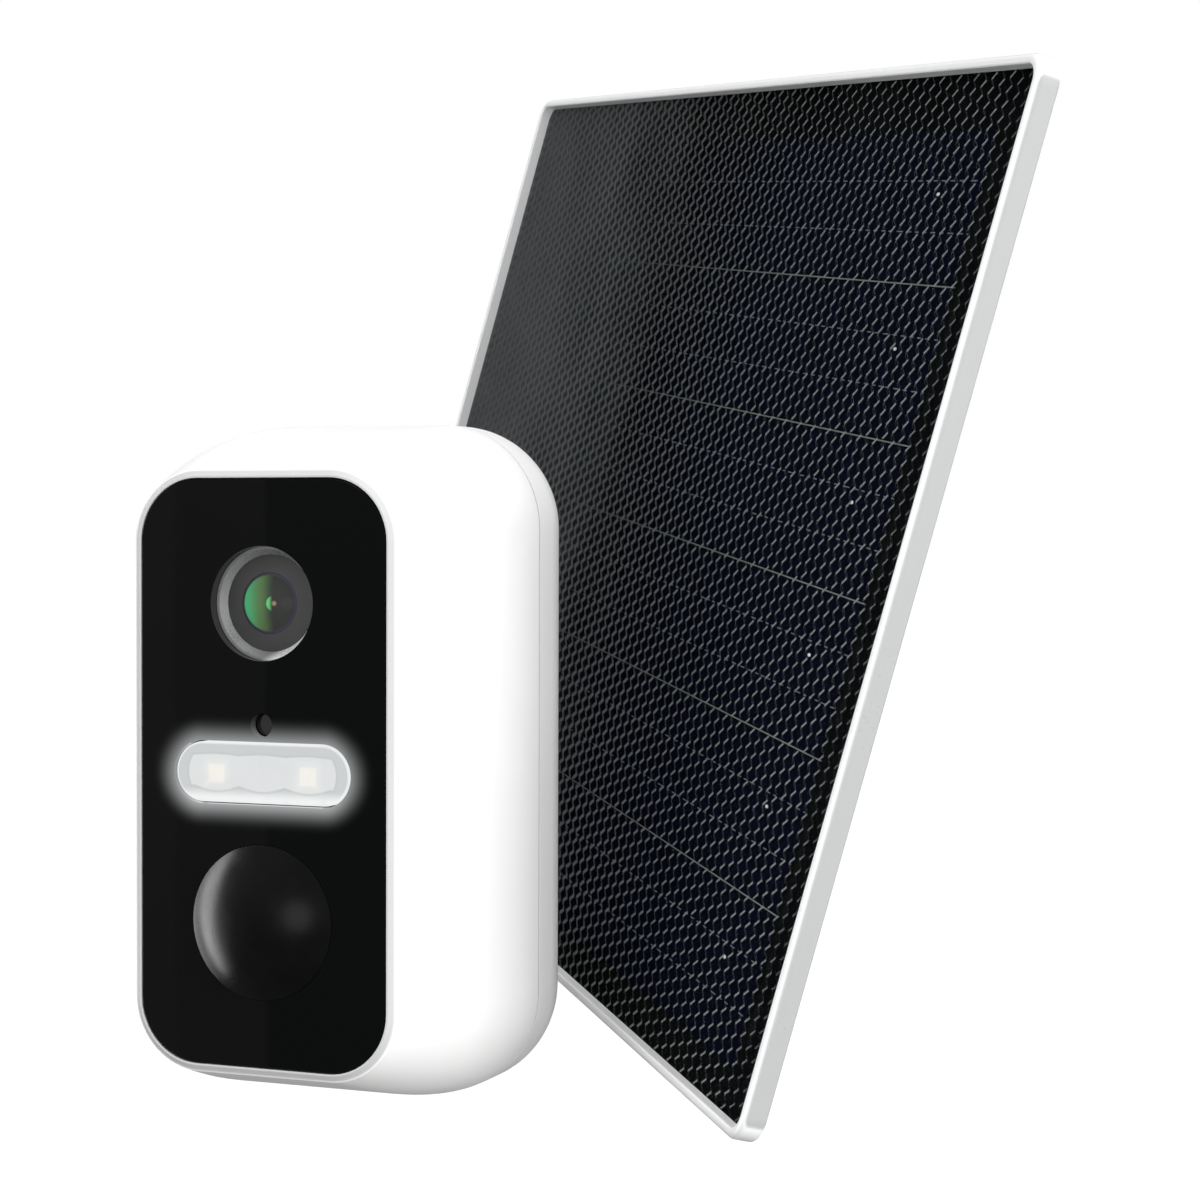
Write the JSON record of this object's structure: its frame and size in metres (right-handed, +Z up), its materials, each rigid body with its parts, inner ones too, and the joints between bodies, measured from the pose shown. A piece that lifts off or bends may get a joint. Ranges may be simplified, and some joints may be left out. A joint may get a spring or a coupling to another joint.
{
  "type": "solar security camera",
  "caption": "Upright white battery camera with a black glass face beside a thin framed solar panel, both on swivelling arms from one wall plate.",
  "frame": {"origin": "centre of the wall plate's back face, on the wall", "axes": "+Z up, +Y into the wall, -Y out from the wall the way the camera looks, +X to the right as seen from the front"},
  "size_m": [0.218, 0.256, 0.2215],
  "materials": {
    "shell_white": "fine satin",
    "glass_black": "gloss",
    "frame_black": "matt",
    "ring_grey": "satin",
    "barrel_grey": "satin",
    "lens_coated": "coated, polished",
    "holder_black": "matt",
    "sensor_silicon": "polished",
    "sensor_window": "gloss",
    "light_diffuser": "frosted",
    "reflector_silver": "satin",
    "led_yellow": "phosphor",
    "pir_black": "gloss",
    "board_green": "solder mask",
    "metal_can": "satin",
    "cell_wrap": "shrink wrap",
    "seal_rubber": "matt",
    "steel": "zinc plated",
    "brass": "turned",
    "speaker_black": "matt",
    "button_grey": "matt",
    "flap_rubber": "matt",
    "panel_white": "gloss",
    "panel_glass": "embossed, clear coated",
    "silicon_blue": "silicon",
    "ribbon_tin": "tinned",
    "backing_black": "matt",
    "socket_black": "matt",
    "bracket_white": "fine grain",
    "arm_white": "powder coated",
    "knob_grey": "matt"
  },
  "bodies": {
    "bracket": {"wall_plate": "bracket_white", "camera_arm": "arm_white", "panel_arm": "arm_white", "arm_set_screws": "steel", "camera_pan_screw": "steel", "panel_pan_screw": "steel"},
    "camera_yoke": {"camera_yoke": "arm_white", "camera_tilt_nut": "steel"},
    "camera_knob": {"camera_tilt_knob": "knob_grey"},
    "camera_lug": {"camera_lug": "arm_white", "camera_lock_ring": "knob_grey"},
    "camera": {"main_housing": "shell_white", "front_glass": "glass_black", "front_frame": "frame_black", "lens_ring": "ring_grey", "lens_barrel": "barrel_grey", "front_lens": "lens_coated", "lens_holder": "holder_black", "image_sensor": "sensor_silicon", "light_sensor": "sensor_window", "light_cover": "light_diffuser", "reflector": "reflector_silver", "light_leds": "led_yellow", "light_board": "board_green", "pir_lens": "pir_black", "pir_sensor": "metal_can", "main_board": "board_green", "battery_cells": "cell_wrap", "battery_holder": "holder_black", "rear_cover": "shell_white", "housing_seal": "seal_rubber", "housing_screws": "steel", "tripod_insert": "brass", "speaker": "speaker_black", "port_board": "board_green", "usb_socket": "metal_can", "card_slot": "metal_can", "flap_pin": "steel"},
    "port_flap": {"port_flap": "flap_rubber"},
    "power_button": {"power_button": "button_grey"},
    "reset_button": {"reset_button": "button_grey"},
    "panel_yoke": {"panel_yoke": "arm_white", "panel_tilt_nut": "steel"},
    "panel_knob": {"panel_tilt_knob": "knob_grey"},
    "panel_lug": {"panel_lug": "arm_white", "panel_lock_ring": "knob_grey"},
    "panel": {"panel_frame": "panel_white", "cover_sheet": "panel_glass", "solar_cells": "silicon_blue", "cell_ribbons": "ribbon_tin", "backing_board": "backing_black", "panel_back": "panel_white", "panel_screws": "steel", "box_screws": "steel", "mount_puck": "panel_white", "panel_insert": "brass", "junction_box": "panel_white", "box_lid": "panel_white", "charge_board": "board_green", "panel_socket": "socket_black"}
  },
  "joints": [
    {"name": "camera_pan", "type": "hinge", "parent": "bracket", "child": "camera_yoke", "pos_m": [0.05, -0.166, -0.013], "axis": [0, 0, 1], "range_deg": [-60, 12]},
    {"name": "camera_tilt", "type": "hinge", "parent": "camera_yoke", "child": "camera_lug", "pos_m": [0.05, -0.166, -0.013], "axis": [1, 0, 0], "range_deg": [-15, 25]},
    {"name": "camera_roll", "type": "hinge", "parent": "camera_lug", "child": "camera", "pos_m": [0.05, -0.192, -0.013], "axis": [0, 1, 0], "range_deg": [-10, 10]},
    {"name": "camera_tilt_knob_turn", "type": "hinge", "parent": "camera_yoke", "child": "camera_knob", "pos_m": [0.05, -0.166, -0.013], "axis": [1, 0, 0], "range_deg": [0, 180]},
    {"name": "port_flap_hinge", "type": "hinge", "parent": "camera", "child": "port_flap", "pos_m": [0.0377, -0.1933, 0.0055], "axis": [0, 0, 1], "range_deg": [0, 95]},
    {"name": "power_button_press", "type": "slide", "parent": "camera", "child": "power_button", "axis": [0, -1, 0], "range_m": [0, 0.0008], "stiffness_N_per_m": 800, "springref_m": -0.0008},
    {"name": "reset_button_press", "type": "slide", "parent": "camera", "child": "reset_button", "axis": [0, -1, 0], "range_m": [0, 0.0006], "stiffness_N_per_m": 800, "springref_m": -0.0008},
    {"name": "panel_pan", "type": "hinge", "parent": "bracket", "child": "panel_yoke", "pos_m": [0.0962, -0.0989, 0.0597], "axis": [0, 0, 1], "range_deg": [-3, 38]},
    {"name": "panel_tilt", "type": "hinge", "parent": "panel_yoke", "child": "panel_lug", "pos_m": [0.0962, -0.0989, 0.0597], "axis": [0.6704, -0.742, 0], "range_deg": [-3, 13]},
    {"name": "panel_roll", "type": "hinge", "parent": "panel_lug", "child": "panel", "pos_m": [0.0962, -0.0989, 0.0597], "axis": [0.7212, 0.6516, -0.2351], "range_deg": [-6, 10]},
    {"name": "panel_tilt_knob_turn", "type": "hinge", "parent": "panel_yoke", "child": "panel_knob", "pos_m": [0.0962, -0.0989, 0.0597], "axis": [0.6704, -0.742, 0], "range_deg": [0, 180]}
  ]
}
